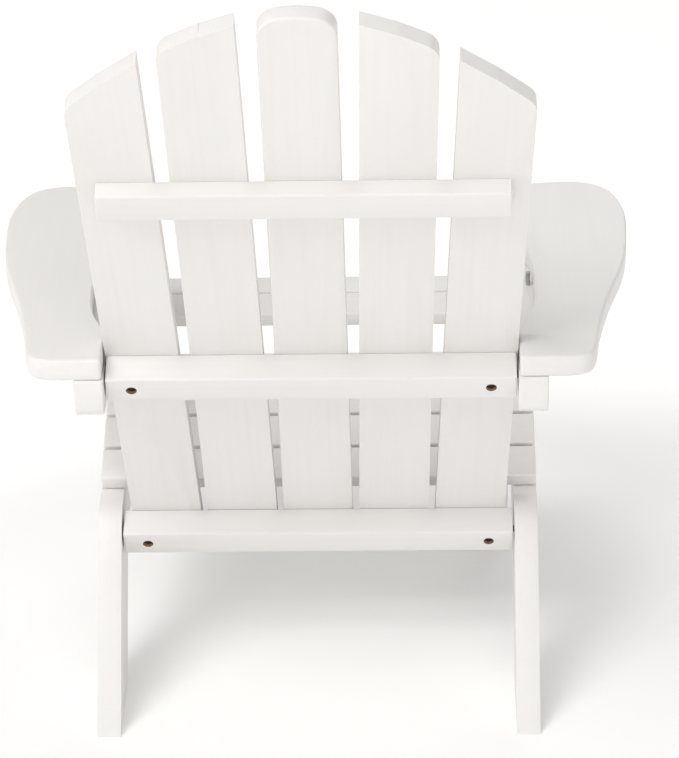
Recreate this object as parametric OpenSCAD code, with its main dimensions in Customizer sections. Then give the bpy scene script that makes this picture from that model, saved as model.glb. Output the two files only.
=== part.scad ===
// Child's slatted garden armchair with a fanned back, bolted together from painted boards.
// +Z is up, the sitter faces -Y and +X is the sitter's left.
// The origin is on the floor, in the middle of the chair's width and depth.

/* [Boards] */
// Thickness of the side rails and front legs
board_t = 18; // [14:1:24]
// Clear distance between the two side rails
inner_w = 305; // [260:1:360]

/* [Back] */
// Lean of the back from upright, in degrees
back_lean = 22; // [16:1:28]
// Distance of the back's foot in front of the rear feet
back_y = 116.4; // [105:0.1:125]
// Height of the lower batten's top edge, at the slats' rear face
back_z = 133.5; // [125:0.1:140]
// Width of one back slat
slat_w = 54; // [48:0.5:56]
// Thickness of one back slat
slat_t = 13; // [10:0.5:15]
// Distance between neighbouring slats at the lower batten
slat_pitch = 59.2; // [57:0.1:61]
// Turn of each slat against its neighbour, in degrees
slat_fan = 1; // [0:0.1:1.2]
// Length of the middle slat above the lower batten
slat_rise = 544; // [480:1:600]
// Drop of the arched top at the outer edge of the fan
arch_drop = 83; // [40:1:100]
// Radius of the outer top corners
slat_corner = 17; // [6:1:22]

/* [Battens] */
// Side of the square lower and middle battens
batten = 24; // [20:1:28]
// Height of the middle batten's top edge along the back
middle_rise = 191.8; // [180:0.1:200]
// Height of the upper batten's top edge along the back
upper_rise = 383; // [340:1:420]
// Height of the upper batten
upper_h = 25; // [20:1:35]
// Depth of the upper batten
upper_t = 14; // [12:1:18]
// Length of the upper batten
upper_len = 290; // [280:1:300]
// Gap between a bolted batten's ends and the side boards
batten_gap = 1.2; // [0.2:0.1:3]

/* [Seat] */
// Width of one seat slat
seat_w = 33; // [28:1:36]
// Thickness of the seat slats
seat_t = 12; // [10:1:15]
// Gap between neighbouring seat slats
seat_gap = 3; // [2:0.5:5]
// Number of slats behind the front legs
rear_slats = 4; // [4:1:4]
// Slope of the seat, in degrees
seat_tilt = 15; // [12:1:17]
// Slope of the slat in front of the legs, in degrees
front_tilt = 4; // [0:1:8]
// Forward roll of the nosing, in degrees
nosing_tilt = -7; // [-15:1:0]
// Slot that the front legs pass through
leg_slot = 44.8; // [42:0.1:50]
// Distance of the seat's rear edge in front of the rear feet
seat_y = 137; // [134:1:142]
// Height of the seat's rear edge
seat_z = 150; // [146:1:154]

/* [Side rails] */
// Depth of the leaning rear leg
leg_depth = 62; // [50:1:75]
// Lean of the rear leg from level, in degrees
leg_rake = 52.5; // [48:0.5:58]
// Depth of the rail under the seat
rail_depth = 50; // [40:1:56]

/* [Front legs] */
// Width of a front leg, front to back
front_leg_w = 31; // [28:1:40]

/* [Arms] */
// Thickness of the armrests
arm_t = 17.5; // [14:0.5:20]
// Height of the armrests' top
arm_z = 321; // [320:0.5:330]
// Distance of the armrests' rear edge in front of the rear feet
arm_y = 20; // [15:1:24]
// Height of the beams below the armrests
beam_h = 31; // [26:1:40]
// Thickness of the beams below the armrests
beam_t = 22; // [18:1:26]

/* [Hardware] */
// Diameter of the bolts' shanks
bolt_d = 5; // [4:0.5:5]
// Diameter of the barrel nuts
barrel_d = 8; // [8:0.5:10]
// Distance of the barrel nuts from the battens' ends
barrel_in = 20; // [16:1:24]
// Diameter of the washers
washer_d = 12.5; // [11:0.5:13]
// Diameter of the wood screws' shanks
screw_d = 3.5; // [3:0.1:4]

/* [Hidden] */

$fn = 48;
left = 1;
right = -1;
play = 0.1;
cut = 1;
arc_steps = 8;

paint = "whitesmoke";
steel = "dimgray";
zinc = "silver";

rail_in = inner_w / 2;
rail_out = rail_in + board_t;
board_mid = rail_in + board_t / 2;
bolt_hole = bolt_d + 0.6;

// Fan of the back
slat_count = 5;
fan_half = (slat_count - 1) / 2;
arch_reach = 160;
arch_power = 1.8;
inner_corner = 0;

// Axes of the two bolted battens, up the back and behind the slats
batten_len = inner_w - 2 * batten_gap;
lower_axis = -batten / 2;
middle_axis = middle_rise - batten / 2;

// Seat profile: [distance in front of the rear feet, height] of each board's rear top edge
seat_step = seat_w + seat_gap;
slot_start = rear_slats * seat_step - seat_gap;
seat_start = [-seat_y, seat_z];
front_start = seat_start + (slot_start + leg_slot) * ahead(seat_tilt);
nosing_start = front_start + seat_step * ahead(front_tilt);
nosing_end = nosing_start + seat_w * ahead(nosing_tilt);

// Front legs stand in the slot, close behind its rear edge
leg_clear = 1.4;
front_leg_back = seat_start[0] + slot_start * ahead(seat_tilt)[0] - leg_clear;
front_leg_mid = front_leg_back - front_leg_w / 2;

// Armrests and beams
beam_z = arm_z - arm_t - beam_h;
beam_back = -19;
beam_out = rail_in + beam_t;
beam_mid = rail_in + beam_t / 2;
beam_front = front_leg_back - front_leg_w;
arm_curve = [
    [153.5, 40], [156, 52], [164, 74], [167.5, 104], [166, 160], [155, 198], [138, 231],
    [131, 258], [139, 279], [167, 286], [207, 288], [230, 275], [241, 243], [242, 206],
    [237, 152], [223, 96], [214, 50], [209.5, 16], [203, 4], [191, 0]
];
arm_rear_inner = [153.5, 0];

// Hardware
head_d = 9.5;
head_h = 2.8;
socket_d = 3.5;
socket_depth = 2;
washer_t = 1.4;
recess = head_h + washer_t + 0.3;
recess_d = washer_d + 1;
nut_af = 8;
nut_t = 4;
bolt_tail = 2;
barrel_len = 17;
barrel_sink = 3;
barrel_x = rail_in - barrel_in;
bolt_end = barrel_x - barrel_d / 2 - 3;
screw_head_d = 7;
back_screw_len = 23;
seat_screw_len = 30;
arm_screw_len = 42;
arm_screw_at = [-75, -165, -255];
screw_spread = 16;
upper_spread = 9;
screw_rise = 7;
rail_bolt_z = [143, 164];
beam_bolt_z = beam_z + beam_h / 2;

// Middle of the depth, from the nosing to the top of the back
back_reach = back_point(slat_rise, 0)[0];
depth_mid = (back_reach + nosing_end[0]) / 2;

// Step forwards along a board that slopes up by the given angle, as [y, z]
function ahead(angle) = [-cos(angle), sin(angle)];

// Step square to such a board and upwards, as [y, z]
function above(angle) = [sin(angle), cos(angle)];

// Point [y, z] that is s up the back and n behind the slats' rear face
function back_point(s, n) = [
    -back_y + s * sin(back_lean) + n * cos(back_lean),
    back_z + s * cos(back_lean) - n * sin(back_lean)
];

// Height of the arched top at a distance from the middle of the back
function arch(x) = slat_rise - arch_drop * pow(abs(x) / arch_reach, arch_power);

// Length of slat k at a place u across it
function slat_top(k, u) =
    let (turn = k * slat_fan, x = k * slat_pitch + u * cos(turn) + slat_rise * sin(turn))
    (arch(x) + u * sin(turn)) / cos(turn);

function unit(v) = v / norm(v);

// Arc of radius r that rounds the corner p between its neighbours a and b
function arc_corner(a, p, b, r) =
    let (
        u = unit(a - p),
        v = unit(b - p),
        half = acos(u * v) / 2,
        centre = p + unit(u + v) * r / sin(half),
        from = p + u * r / tan(half) - centre,
        to = p + v * r / tan(half) - centre,
        start = atan2(from[1], from[0]),
        turn = atan2(cross(from, to), from * to)
    )
    [for (i = [0 : arc_steps]) centre + r * [
        cos(start + turn * i / arc_steps),
        sin(start + turn * i / arc_steps)
    ]];

// Outline through corners given as [x, y, radius]
function rounded(corners) =
    let (n = len(corners), flat = [for (c = corners) [c[0], c[1]]])
    [for (i = [0 : n - 1]) each
        corners[i][2] > 0
            ? arc_corner(flat[(i + n - 1) % n], flat[i], flat[(i + 1) % n], corners[i][2])
            : [flat[i]]
    ];

// Smooth curve through the points of a list
function smooth(p, steps = 5) =
    let (last = len(p) - 1)
    [for (i = [0 : last]) each
        i == last
            ? [p[i]]
            : [for (j = [0 : steps - 1]) spline(
                p[max(i - 1, 0)], p[i], p[i + 1], p[min(i + 2, last)], j / steps
            )]
    ];

// Point at t on the curve from b to c, with a and d as their outer neighbours
function spline(a, b, c, d, t) =
    0.5 * (2 * b + (c - a) * t + (2 * a - 5 * b + 4 * c - d) * pow(t, 2)
        + (3 * b - a - 3 * c + d) * pow(t, 3));

// Moves the chair from its rear feet to the middle of its depth
module placed() {
    translate([0, -depth_mid, 0]) children();
}

// Mirrors the left side's pieces to the right
module sided(side) {
    if (side == left) children();
    else mirror([1, 0, 0]) children();
}

// X runs across the back, Y up the back and Z towards the sitter
module on_back() {
    translate([0, -back_y, back_z]) rotate([90 - back_lean, 0, 0]) children();
}

// Stands an outline drawn as [y, z] upright, from x outwards
module upright(x, thickness) {
    translate([x, 0, 0]) rotate([90, 0, 90]) linear_extrude(thickness) children();
}

// Cylinder along X, from x outwards
module along_x(x, y, z, length, d) {
    translate([x, y, z]) rotate([0, 90, 0]) cylinder(h = length, d = d);
}

// Wood screw pointing down from the top of its countersunk head
module screw(length, extra = 0) {
    d = screw_d + extra;
    head = screw_head_d + extra;
    rotate_extrude() polygon([
        [0, -length - extra], [d / 2, -length - extra], [d / 2, -(head - d) / 2],
        [head / 2, 0], [head / 2, extra], [0, extra]
    ]);
}

// Places of the screws that hold slat k to the battens
module at_back_screws(k) {
    turn = k * slat_fan;
    rows = [
        [lower_axis + screw_rise, screw_spread],
        [middle_axis + screw_rise, screw_spread],
        [upper_rise - upper_h / 2, upper_spread]
    ];
    for (row = rows, end = [-1, 1])
        translate([k * slat_pitch + row[0] * tan(turn) + end * row[1], row[0], slat_t])
            children();
}

module all_back_screws(extra = 0) {
    on_back() for (k = [-fan_half : fan_half]) at_back_screws(k) screw(back_screw_len, extra);
}

// Places of the barrel nuts: side, and the batten's axis up the back
module at_barrels() {
    for (s = [lower_axis, middle_axis], side = [left, right])
        translate([side * barrel_x, s, -batten]) children();
}

module back_slat(number) {
    k = fan_half + 1 - number;
    turn = k * slat_fan;
    r_left = k >= 0 ? slat_corner : inner_corner;
    r_right = k <= 0 ? slat_corner : inner_corner;
    half = slat_w / 2;
    color(paint) placed() difference() {
        on_back() translate([k * slat_pitch, 0, 0]) rotate(-turn) linear_extrude(slat_t)
            polygon(rounded([
                [-half, -batten, 0], [half, -batten, 0],
                [half, slat_top(k, half), r_left], [0, slat_top(k, 0), slat_w],
                [-half, slat_top(k, -half), r_right]
            ]));
        on_back() at_back_screws(k) screw(back_screw_len, play);
    }
}

// Square batten with bolt holes in its ends and barrel nut holes in its rear face
module bolted_batten(axis) {
    color(paint) placed() difference() {
        on_back() translate([-batten_len / 2, axis - batten / 2, -batten])
            cube([batten_len, batten, batten]);
        on_back() at_barrels() translate([0, 0, -cut])
            cylinder(h = barrel_sink + barrel_len + play + cut, d = barrel_d + play);
        bolt_bores();
        all_back_screws(play);
    }
}

// Batten bolts on one side, as [axis up the back, outer face of the board they hold]
batten_joints = [[lower_axis, rail_out], [middle_axis, beam_out]];

// Leg bolts on one side, as [height, outer face of the board they hold]
leg_joints = [[rail_bolt_z[0], rail_out], [rail_bolt_z[1], rail_out], [beam_bolt_z, beam_out]];

// Bore of a bolt along X from a tail to an outer face, with a recess for its head
module recessed_bore(tail, outer, y, z) {
    along_x(tail - cut, y, z, outer - tail + cut, bolt_hole);
    along_x(outer - recess, y, z, recess + cut, recess_d);
}

// Bores of the four batten bolts through rails or beams and into the battens
module bolt_bores() {
    for (joint = batten_joints, side = [left, right]) sided(side)
        let (p = back_point(joint[0], batten / 2))
        recessed_bore(bolt_end, joint[1], p[0], p[1]);
}

// Bores of one side's bolts through the front leg
module leg_bores() {
    for (joint = leg_joints)
        recessed_bore(rail_in - board_t, joint[1], front_leg_mid, joint[0]);
}

module upper_batten() {
    color(paint) placed() difference() {
        on_back() translate([-upper_len / 2, upper_rise - upper_h, -upper_t])
            cube([upper_len, upper_h, upper_t]);
        all_back_screws(play);
    }
}

module middle_batten() bolted_batten(middle_axis);

module lower_batten() bolted_batten(lower_axis);

// Bent side board: leaning rear leg and seat rail in one piece
module side_rail(side) {
    under = -seat_t;
    rear = seat_start + under * above(seat_tilt);
    crown = front_start + under * above(seat_tilt);
    fore = nosing_start + under * above(front_tilt);
    tip = nosing_end + under * above(nosing_tilt);
    knee = [-rear[1] / tan(leg_rake), rear[1]];
    toe = -leg_depth / sin(leg_rake);
    drop = rail_depth / cos(seat_tilt);
    bend_z = (rear[1] - drop + (rear[0] - toe) * tan(seat_tilt))
        / (1 - tan(seat_tilt) / tan(leg_rake));
    bend = [toe - bend_z / tan(leg_rake), bend_z];
    chin = [tip[0], crown[1] - drop + 4];
    color(paint) placed() sided(side) difference() {
        upright(rail_in, board_t) polygon(rounded([
            [0, 0, 0], [knee[0], knee[1], 25], [rear[0], rear[1], 0],
            [crown[0], crown[1], 30], [fore[0], fore[1], 30], [tip[0], tip[1], 0],
            [chin[0], chin[1], 16], [bend[0], bend[1], 50], [toe, 0, 0]
        ]));
        bolt_bores();
        leg_bores();
        seat_screw_set(play);
    }
}

module front_leg(side) {
    color(paint) placed() sided(side) difference() {
        translate([rail_in - board_t, front_leg_back - front_leg_w, 0])
            cube([board_t, front_leg_w, arm_z - arm_t]);
        leg_bores();
    }
}

// Seat board that starts at a rear top edge [y, z] and slopes by an angle
module seat_board(start, angle) {
    color(paint) placed() difference() {
        translate([-rail_out, start[0], start[1]]) rotate([-angle, 0, 0])
            translate([0, -seat_w, -seat_t]) cube([2 * rail_out, seat_w, seat_t]);
        for (side = [left, right]) sided(side) seat_screw_set(play);
    }
}

module rear_seat_slat(number) {
    seat_board(seat_start + (number - 1) * seat_step * ahead(seat_tilt), seat_tilt);
}

// Screws through the ends of the seat boards into one rail
module seat_screw_set(extra = 0) {
    starts = concat(
        [for (i = [0 : rear_slats - 1]) [seat_start + i * seat_step * ahead(seat_tilt), seat_tilt]],
        [[front_start, front_tilt], [nosing_start, nosing_tilt]]
    );
    for (board = starts) let (p = board[0] + seat_w / 2 * ahead(board[1]))
        translate([board_mid, p[0], p[1]]) rotate([-board[1], 0, 0]) screw(seat_screw_len, extra);
}

module arm_beam(side) {
    top = beam_z + beam_h;
    color(paint) placed() sided(side) difference() {
        upright(rail_in, beam_t) polygon(rounded([
            [beam_back, top, 0], [beam_front, top, 0],
            [beam_front, beam_z, 8], [beam_back, beam_z, 8]
        ]));
        bolt_bores();
        leg_bores();
        arm_screw_set(play);
    }
}

// Screws driven up through one beam into its armrest
module arm_screw_set(extra = 0) {
    for (y = arm_screw_at) translate([beam_mid, y, beam_z]) mirror([0, 0, 1])
        screw(arm_screw_len, extra);
}

// Paddle-shaped armrest, wide in front and narrow-waisted
module arm(side) {
    outline = concat([arm_rear_inner], smooth(arm_curve));
    color(paint) placed() sided(side) difference() {
        translate([0, 0, arm_z - arm_t]) linear_extrude(arm_t)
            polygon([for (p = outline) [p[0], -arm_y - p[1]]]);
        arm_screw_set(play);
    }
}

// Domed socket bolt along X with its head's flat side at x = 0 and its tail inwards
module bolt(length) {
    rotate([0, 90, 0]) difference() {
        rotate_extrude() polygon(concat(
            [[0, -length], [bolt_d / 2, -length], [bolt_d / 2, 0], [head_d / 2, 0]],
            [for (a = [15 : 15 : 90]) [head_d / 2 * cos(a), head_h * sin(a)]]
        ));
        translate([0, 0, head_h - socket_depth])
            cylinder(h = socket_depth + cut, d = socket_d, $fn = 6);
    }
}

module washer(x, y, z) {
    difference() {
        along_x(x, y, z, washer_t, washer_d);
        along_x(x - cut, y, z, washer_t + 2 * cut, bolt_hole);
    }
}

// Places of the batten bolts, at the floor of each recess
module at_batten_bolts(joint) {
    for (side = [left, right]) sided(side)
        let (p = back_point(joint[0], batten / 2))
        translate([joint[1] - recess, p[0], p[1]]) children();
}

// Places of the leg bolts, at the floor of each recess
module at_leg_bolts(joint) {
    for (side = [left, right]) sided(side)
        translate([joint[1] - recess, front_leg_mid, joint[0]]) children();
}

// Distance from the floor of a leg bolt's recess to the front leg's inner face
function leg_grip(joint) = joint[1] - recess - rail_in + board_t;

module batten_bolts() {
    color(steel) placed() for (joint = batten_joints) at_batten_bolts(joint)
        translate([washer_t, 0, 0]) bolt(joint[1] - recess + washer_t - bolt_end);
}

module batten_washers() {
    color(steel) placed() for (joint = batten_joints) at_batten_bolts(joint) washer(0, 0, 0);
}

module barrel_nuts() {
    color(zinc) placed() difference() {
        on_back() at_barrels() translate([0, 0, barrel_sink])
            cylinder(h = barrel_len, d = barrel_d - play);
        bolt_bores();
    }
}

module leg_bolts() {
    color(steel) placed() for (joint = leg_joints) at_leg_bolts(joint)
        bolt(leg_grip(joint) + washer_t + nut_t + bolt_tail);
}

module leg_washers() {
    color(steel) placed() for (joint = leg_joints) at_leg_bolts(joint)
        washer(-leg_grip(joint) - washer_t, 0, 0);
}

module leg_nuts() {
    color(steel) placed() for (joint = leg_joints) at_leg_bolts(joint)
        translate([-leg_grip(joint) - washer_t - nut_t, 0, 0]) rotate([0, 90, 0]) difference() {
            cylinder(h = nut_t, d = nut_af / cos(30), $fn = 6);
            translate([0, 0, -cut]) cylinder(h = nut_t + 2 * cut, d = bolt_d + play);
        }
}

module back_screws() color(paint) placed() all_back_screws();

module seat_screws() color(paint) placed() for (side = [left, right]) sided(side) seat_screw_set();

module arm_screws() color(zinc) placed() for (side = [left, right]) sided(side) arm_screw_set();

back_slat(1);  // back_slat_1
back_slat(2);  // back_slat_2
back_slat(3);  // back_slat_3
back_slat(4);  // back_slat_4
back_slat(5);  // back_slat_5
upper_batten();
middle_batten();
lower_batten();
side_rail(left);  // side_rail_left
side_rail(right);  // side_rail_right
front_leg(left);  // front_leg_left
front_leg(right);  // front_leg_right
rear_seat_slat(1);  // seat_slat_1
rear_seat_slat(2);  // seat_slat_2
rear_seat_slat(3);  // seat_slat_3
rear_seat_slat(4);  // seat_slat_4
seat_board(front_start, front_tilt);  // seat_slat_front
seat_board(nosing_start, nosing_tilt);  // seat_nosing
arm_beam(left);  // arm_beam_left
arm_beam(right);  // arm_beam_right
arm(left);  // arm_left
arm(right);  // arm_right
batten_bolts();
batten_washers();
barrel_nuts();
leg_bolts();
leg_washers();
leg_nuts();
back_screws();
seat_screws();
arm_screws();
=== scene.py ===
import math

import bmesh
import bpy
from mathutils import Matrix, Vector


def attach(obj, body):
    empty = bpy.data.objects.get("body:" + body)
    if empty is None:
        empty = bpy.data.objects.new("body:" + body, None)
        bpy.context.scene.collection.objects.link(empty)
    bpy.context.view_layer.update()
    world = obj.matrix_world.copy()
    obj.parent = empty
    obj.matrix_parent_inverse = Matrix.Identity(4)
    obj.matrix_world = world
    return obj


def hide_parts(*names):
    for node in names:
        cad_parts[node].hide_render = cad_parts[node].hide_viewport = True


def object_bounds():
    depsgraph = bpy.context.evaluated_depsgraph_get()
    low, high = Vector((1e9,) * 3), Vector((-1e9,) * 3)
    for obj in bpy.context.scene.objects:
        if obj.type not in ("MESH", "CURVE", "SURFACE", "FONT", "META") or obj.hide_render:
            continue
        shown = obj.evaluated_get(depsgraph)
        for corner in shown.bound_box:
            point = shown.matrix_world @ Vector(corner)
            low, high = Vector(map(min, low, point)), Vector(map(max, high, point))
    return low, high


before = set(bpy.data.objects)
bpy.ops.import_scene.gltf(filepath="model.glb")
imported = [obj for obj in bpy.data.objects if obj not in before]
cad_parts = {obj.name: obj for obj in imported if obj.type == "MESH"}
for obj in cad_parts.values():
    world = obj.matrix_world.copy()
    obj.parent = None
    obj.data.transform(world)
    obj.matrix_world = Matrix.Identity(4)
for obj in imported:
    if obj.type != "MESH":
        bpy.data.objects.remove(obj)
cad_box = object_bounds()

# The CAD box in metres: the chair stands on z = 0, the sitter faces -Y
# and +X is the sitter's left.
LOW, HIGH = Vector(cad_box[0]), Vector(cad_box[1])
SIZE = HIGH - LOW

# Camera, behind the chair and above it, aimed at a place given as parts of the box
AIM = Vector((LOW.x + 0.461 * SIZE.x, LOW.y + 0.581 * SIZE.y, LOW.z + 0.393 * SIZE.z))
CAMERA_YAW = math.radians(1.42)
CAMERA_PITCH = math.radians(29.39)
CAMERA_ROLL = math.radians(-1.21)
CAMERA_DISTANCE = 4.211 * SIZE.z
CAMERA_REACH = 100
LENS_MM = 168.7

# Soft square lights: name, azimuth, elevation, side in metres, watts and colour. Azimuth 0 is the
# camera's side and +90 is +X; each is aimed at the chair's middle from the same distance.
LIGHTS = (
    ("key", 48, 51, 3.8, 250, (1.0, 0.995, 0.985)),
    ("fill", -8, 33, 5.0, 76, (1.0, 0.995, 0.99)),
    ("front", 195, 20, 4.0, 60, (1.0, 0.995, 0.99)),
)
LIGHT_DISTANCE = 7.0
SKY_COLOUR, SKY_STRENGTH = (1.0, 0.995, 0.985), 0.50

# Mesh clean-up and rounding, in metres
WELD = 2e-5
FLAT_ANGLE = math.radians(0.4)
SHARP_ANGLE = math.radians(32)
SHORTEST_EDGE = 0.0011
ROUND_STEPS = 4
ROUNDING = {"slat": 0.0017, "seat": 0.0019, "batten": 0.0012, "frame": 0.0016, "arm": 0.0026}

# A batten's outer faces are larger than this, and what lies deeper than this is in a hole
OUTER_AREA = 1e-4
HOLE_DEPTH = 0.0005

# The floor's reach, and its glow inside and outside a ring with these radii and this centre
# The glow is painted light, though the floor is no lamp: weak near the chair, where it also
# lights the chair from below, and stronger beyond the ring, where it washes the chair's cast
# shadow out to white.
FLOOR_REACH = 90 * SIZE.z
GLOW_COLOUR = (1.0, 0.985, 0.965)
GLOW_NEAR, GLOW_FAR = 0.06, 0.20
GLOW_FROM, GLOW_FULL = 0.40, 0.56
GLOW_CENTRE = (0.09, 0.2, 0.0)
# The glow's further rise towards the horizon, and the radii where that starts and is full
HORIZON_GLOW = 0.34
HORIZON_FROM, HORIZON_FULL = 1.6, 5.0

# Colours, linear
PAINT = (0.825, 0.808, 0.797)
PAINT_DEEP = (0.785, 0.765, 0.735)
PRIMER = (0.70, 0.64, 0.55)
BARE_WOOD = (0.46, 0.31, 0.20)
BARE_WOOD_DARK = (0.26, 0.155, 0.09)
DARK_STEEL = (0.12, 0.105, 0.09)
ZINC = (0.55, 0.56, 0.57)
FLOOR = (0.93, 0.93, 0.925)

# Sockets for colours on a Mix node, and two of a board's material slots
MIX_FIRST, MIX_SECOND, MIX_RESULT = 6, 7, 2
EDGE_SLOT, HOLE_SLOT = 1, 2


# ---------------------------------------------------------------- materials

def new_material(name):
    """A new node material with its nodes, its link function and its shader."""
    material = bpy.data.materials.new(name)
    material.use_nodes = True
    tree = material.node_tree
    shader = next(n for n in tree.nodes if n.type == "BSDF_PRINCIPLED")
    return material, tree.nodes, tree.links.new, shader


def coordinates(nodes, link, scale):
    """Object coordinates stretched by scale: X runs along a board's grain."""
    place = nodes.new("ShaderNodeTexCoord")
    mapping = nodes.new("ShaderNodeMapping")
    mapping.inputs["Scale"].default_value = scale
    link(place.outputs["Object"], mapping.inputs["Vector"])
    return mapping.outputs["Vector"]


def noise(nodes, link, scale, detail, roughness=0.55, distortion=0.0):
    """Noise stretched by a scale of three numbers."""
    node = nodes.new("ShaderNodeTexNoise")
    node.inputs["Scale"].default_value = 1.0
    node.inputs["Detail"].default_value = detail
    node.inputs["Roughness"].default_value = roughness
    node.inputs["Distortion"].default_value = distortion
    link(coordinates(nodes, link, scale), node.inputs["Vector"])
    return node.outputs["Fac"]


def spread(nodes, link, value, low, high, to_low=0.0, to_high=1.0, eased=False):
    """value, stretched from low..high to to_low..to_high, with soft ends if eased."""
    node = nodes.new("ShaderNodeMapRange")
    if eased:
        node.interpolation_type = "SMOOTHSTEP"
    node.inputs["From Min"].default_value = low
    node.inputs["From Max"].default_value = high
    node.inputs["To Min"].default_value = to_low
    node.inputs["To Max"].default_value = to_high
    link(value, node.inputs["Value"])
    return node.outputs["Result"]


def mix(nodes, link, factor, first, second):
    """Colour that goes from first to second; each is a colour or a socket."""
    node = nodes.new("ShaderNodeMix")
    node.data_type = "RGBA"
    link(factor, node.inputs["Factor"])
    for place, colour in ((MIX_FIRST, first), (MIX_SECOND, second)):
        socket = node.inputs[place]
        if isinstance(colour, tuple):
            socket.default_value = (*colour, 1.0)
        else:
            link(colour, socket)
    return node.outputs[MIX_RESULT]


def add_bump(nodes, link, shader, height, distance, strength, below=None):
    """Surface relief from a height, on top of an earlier bump."""
    bump = nodes.new("ShaderNodeBump")
    bump.inputs["Distance"].default_value = distance
    bump.inputs["Strength"].default_value = strength
    link(height, bump.inputs["Height"])
    if below is not None:
        link(below, bump.inputs["Normal"])
    link(bump.outputs["Normal"], shader.inputs["Normal"])
    return bump.outputs["Normal"]


def painted_wood(name, rubbed):
    """White satin paint over grain; rubbed is how far it is worn down to the primer."""
    material, nodes, link, shader = new_material(name)
    grain = noise(nodes, link, (5, 190, 190), detail=6, roughness=0.6, distortion=0.35)
    brush = noise(nodes, link, (9, 700, 700), detail=2)
    cloud = noise(nodes, link, (7, 16, 16), detail=3)
    speck = noise(nodes, link, (420, 620, 620), detail=2)
    streaks = spread(nodes, link, grain, 0.46, 0.78, 0.0, 0.40)
    colour = mix(nodes, link, streaks, PAINT, PAINT_DEEP)
    patches = spread(nodes, link, cloud, 0.40, 0.72, 0.0, 0.30)
    colour = mix(nodes, link, patches, colour, PAINT_DEEP)
    pores = spread(nodes, link, speck, 0.70, 0.76, 0.0, 0.35)
    colour = mix(nodes, link, pores, colour, PRIMER)
    if rubbed > 0:
        wear = noise(nodes, link, (60, 130, 130), detail=4, roughness=0.7)
        worn = spread(nodes, link, wear, 0.58, 0.74, 0.0, rubbed)
        colour = mix(nodes, link, worn, colour, PRIMER)
    link(colour, shader.inputs["Base Color"])
    link(spread(nodes, link, cloud, 0.3, 0.7, 0.40, 0.52), shader.inputs["Roughness"])
    shader.inputs["Specular IOR Level"].default_value = 0.42
    shader.inputs["Coat Weight"].default_value = 0.12
    shader.inputs["Coat Roughness"].default_value = 0.32
    fine = add_bump(nodes, link, shader, brush, distance=0.00005, strength=0.35)
    add_bump(nodes, link, shader, grain, distance=0.00014, strength=0.30, below=fine)
    return material


def bare_wood():
    """Unpainted brown wood inside the drilled holes."""
    material, nodes, link, shader = new_material("bare_wood")
    grain = noise(nodes, link, (40, 900, 900), detail=5, roughness=0.65)
    colour = mix(nodes, link, spread(nodes, link, grain, 0.35, 0.65), BARE_WOOD_DARK, BARE_WOOD)
    link(colour, shader.inputs["Base Color"])
    link(spread(nodes, link, grain, 0.3, 0.7, 0.72, 0.88), shader.inputs["Roughness"])
    add_bump(nodes, link, shader, grain, distance=0.0002, strength=0.8)
    return material


def metal(name, colour, rough):
    """Plated steel with fine turning marks and a little tarnish."""
    material, nodes, link, shader = new_material(name)
    cloud = noise(nodes, link, (160, 160, 160), detail=4)
    marks = noise(nodes, link, (2500, 2500, 500), detail=2)
    dull = tuple(0.62 * c for c in colour)
    link(mix(nodes, link, spread(nodes, link, cloud, 0.35, 0.7), colour, dull),
         shader.inputs["Base Color"])
    link(spread(nodes, link, cloud, 0.3, 0.7, rough, rough + 0.18), shader.inputs["Roughness"])
    shader.inputs["Metallic"].default_value = 1.0
    add_bump(nodes, link, shader, marks, distance=0.00004, strength=0.5)
    return material


def floor_paper():
    """White studio paper with painted light: it glows a little near the chair and more away from
    it, so that it goes to white and the chair's cast shadow fades out away from the chair.
    """
    material, nodes, link, shader = new_material("floor_paper")
    tooth = noise(nodes, link, (300, 300, 300), detail=3)
    shade = tuple(0.99 * c for c in FLOOR)
    link(mix(nodes, link, tooth, FLOOR, shade), shader.inputs["Base Color"])
    shader.inputs["Roughness"].default_value = 0.95
    shader.inputs["Specular IOR Level"].default_value = 0.05
    # Painted light: this emission fills the chair's cast shadow away from the chair and lights
    # the chair from below near it.
    shader.inputs["Emission Color"].default_value = (*GLOW_COLOUR, 1.0)
    place = nodes.new("ShaderNodeTexCoord")
    away = nodes.new("ShaderNodeVectorMath")
    away.operation = "DISTANCE"
    away.inputs[1].default_value = GLOW_CENTRE
    link(place.outputs["Object"], away.inputs[0])
    far = away.outputs["Value"]
    glow = nodes.new("ShaderNodeMath")
    glow.operation = "ADD"
    ring = spread(nodes, link, far, GLOW_FROM, GLOW_FULL, GLOW_NEAR, GLOW_FAR, eased=True)
    horizon = spread(nodes, link, far, HORIZON_FROM, HORIZON_FULL, 0.0, HORIZON_GLOW, eased=True)
    link(ring, glow.inputs[0])
    link(horizon, glow.inputs[1])
    link(glow.outputs["Value"], shader.inputs["Emission Strength"])
    add_bump(nodes, link, shader, tooth, distance=0.0002, strength=0.15)
    return material


# ---------------------------------------------------------------- boards

def grain_axes(shape, along):
    """Matrix whose X runs along the board, and whose Z is square to its largest face."""
    largest = max(shape.faces, key=lambda f: f.calc_area())
    thickness = largest.normal.copy()
    if along is None:
        longest = max(shape.edges, key=lambda e: e.calc_length())
        along = longest.verts[1].co - longest.verts[0].co
    along = along - along.dot(thickness) * thickness
    along.normalize()
    across = thickness.cross(along)
    centre = sum((v.co for v in shape.verts), Vector()) / len(shape.verts)
    axes = Matrix((along, across, thickness)).transposed().to_4x4()
    axes.translation = centre
    return axes


def drilled_faces(shape):
    """Faces inside blind holes: those with a corner that lies below every outer face."""
    outer = [f for f in shape.faces if f.calc_area() > OUTER_AREA]
    inner = []
    for face in shape.faces:
        depth = max(
            min((f.verts[0].co - v.co).dot(f.normal) for f in outer) for v in face.verts
        )
        if depth > HOLE_DEPTH:
            inner.append(face)
    return inner


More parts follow.
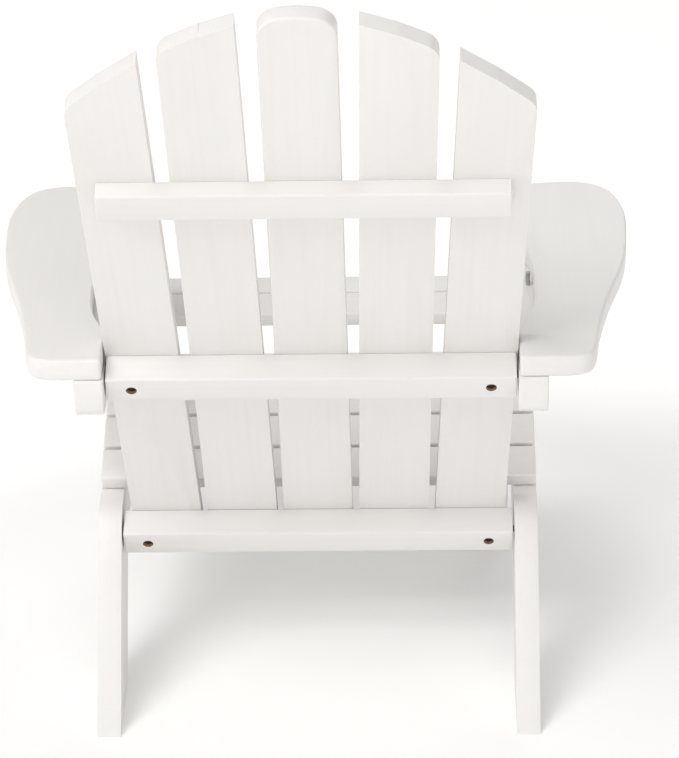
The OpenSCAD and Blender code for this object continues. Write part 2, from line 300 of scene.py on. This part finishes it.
def board(node, kind, paint, rubbed, drilled=None, along=None):
    """A board in place of a CAD node, with rounded edges and with its grain along its longest
    edge or along a given direction; its drilled holes get a material of their own."""
    shape = bmesh.new()
    shape.from_mesh(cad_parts[node].data)
    bmesh.ops.remove_doubles(shape, verts=shape.verts, dist=WELD)
    bmesh.ops.dissolve_limit(
        shape, angle_limit=FLAT_ANGLE, verts=shape.verts, edges=shape.edges
    )
    axes = grain_axes(shape, along)
    weight = shape.edges.layers.float.new("bevel_weight_edge")
    for edge in shape.edges:
        if len(edge.link_faces) == 2 and edge.calc_face_angle() > SHARP_ANGLE:
            rounded = edge.calc_length() > SHORTEST_EDGE
            edge[weight] = 1.0 if rounded else 0.0
            edge.smooth = rounded
    for face in shape.faces:
        face.smooth = True
    if drilled is not None:
        for face in drilled_faces(shape):
            face.material_index = HOLE_SLOT
    shape.transform(axes.inverted())
    mesh = bpy.data.meshes.new(node + "_shape")
    shape.to_mesh(mesh)
    shape.free()
    mesh.materials.append(paint)
    mesh.materials.append(rubbed)
    if drilled is not None:
        mesh.materials.append(drilled)

    piece = bpy.data.objects.new(node + "_painted", mesh)
    bpy.context.scene.collection.objects.link(piece)
    piece.matrix_world = axes
    rounding = piece.modifiers.new("rounded_edges", "BEVEL")
    rounding.limit_method = "WEIGHT"
    rounding.width = ROUNDING[kind]
    rounding.segments = ROUND_STEPS
    rounding.harden_normals = True
    rounding.material = EDGE_SLOT
    bpy.context.view_layer.update()
    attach(piece, "root")
    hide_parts(node)
    return piece


def finish_boards():
    """Every board of the chair."""
    paint = painted_wood("white_paint", 0.0)
    rubbed = painted_wood("white_paint_edge", 0.5)
    drilled = bare_wood()
    lengthways = Vector((0, 1, 0))
    for number in range(1, 6):
        board(f"back_slat_{number}", "slat", paint, rubbed)
    for name in ("upper_batten", "middle_batten", "lower_batten"):
        board(name, "batten", paint, rubbed, None if name == "upper_batten" else drilled)
    for name in ("seat_slat_1", "seat_slat_2", "seat_slat_3", "seat_slat_4", "seat_slat_front",
                 "seat_nosing"):
        board(name, "seat", paint, rubbed)
    for side in ("left", "right"):
        board("side_rail_" + side, "frame", paint, rubbed, along=lengthways)
        board("front_leg_" + side, "frame", paint, rubbed)
        board("arm_beam_" + side, "frame", paint, rubbed)
        board("arm_" + side, "arm", paint, rubbed, along=lengthways)


def finish_hardware():
    """Bolts, nuts, washers and screws keep their CAD shape and get their metals."""
    dark = metal("dark_steel_plate", DARK_STEEL, 0.34)
    zinc = metal("zinc_plate", ZINC, 0.28)
    filled = painted_wood("painted_over", 0.0)
    looks = {
        "batten_bolts": dark, "batten_washers": dark, "leg_bolts": dark, "leg_washers": dark,
        "leg_nuts": dark, "barrel_nuts": dark, "arm_screws": zinc, "back_screws": filled,
        "seat_screws": filled,
    }
    for node, look in looks.items():
        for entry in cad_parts[node].material_slots:
            entry.material = look


# ---------------------------------------------------------------- studio

def add_floor():
    """A plain pale floor that reaches to the horizon."""
    bpy.ops.mesh.primitive_plane_add(size=2 * FLOOR_REACH, location=(0, 0, LOW.z))
    floor = bpy.context.object
    floor.name = "studio_floor"
    floor.data.materials.append(floor_paper())


def add_light(name, azimuth, elevation, side, watts, colour):
    """One of the LIGHTS."""
    centre = (LOW + HIGH) / 2
    turn, rise = math.radians(azimuth), math.radians(elevation)
    towards = Vector((
        math.sin(turn) * math.cos(rise),
        math.cos(turn) * math.cos(rise),
        math.sin(rise),
    ))
    lamp = bpy.data.lights.new(name, "AREA")
    lamp.shape = "SQUARE"
    lamp.size = side
    lamp.energy = watts
    lamp.color = colour
    holder = bpy.data.objects.new(name, lamp)
    holder.location = centre + LIGHT_DISTANCE * towards
    holder.rotation_euler = (-towards).to_track_quat("-Z", "Y").to_euler()
    bpy.context.scene.collection.objects.link(holder)


def add_studio_light():
    """The lights and an even sky."""
    for light in LIGHTS:
        add_light(*light)
    world = bpy.data.worlds.new("studio")
    world.use_nodes = True
    backdrop = next(n for n in world.node_tree.nodes if n.type == "BACKGROUND")
    backdrop.inputs["Color"].default_value = (*SKY_COLOUR, 1.0)
    backdrop.inputs["Strength"].default_value = SKY_STRENGTH
    bpy.context.scene.world = world
    bpy.context.scene.view_settings.view_transform = "Standard"


def add_camera():
    """The camera at the photograph's angle, turned about its own axis by the roll."""
    forward = Vector((
        math.sin(CAMERA_YAW) * math.cos(CAMERA_PITCH),
        -math.cos(CAMERA_YAW) * math.cos(CAMERA_PITCH),
        -math.sin(CAMERA_PITCH),
    ))
    level = forward.cross(Vector((0, 0, 1))).normalized()
    upward = level.cross(forward)
    right = math.cos(CAMERA_ROLL) * level + math.sin(CAMERA_ROLL) * upward
    above = right.cross(forward)
    lens = bpy.data.cameras.new("camera")
    lens.lens = LENS_MM
    lens.clip_end = CAMERA_REACH
    camera = bpy.data.objects.new("camera", lens)
    axes = Matrix((right, above, -forward)).transposed().to_4x4()
    axes.translation = AIM - CAMERA_DISTANCE * forward
    camera.matrix_world = axes
    bpy.context.scene.collection.objects.link(camera)
    bpy.context.scene.camera = camera


add_camera()
finish_boards()
finish_hardware()
add_floor()
add_studio_light()
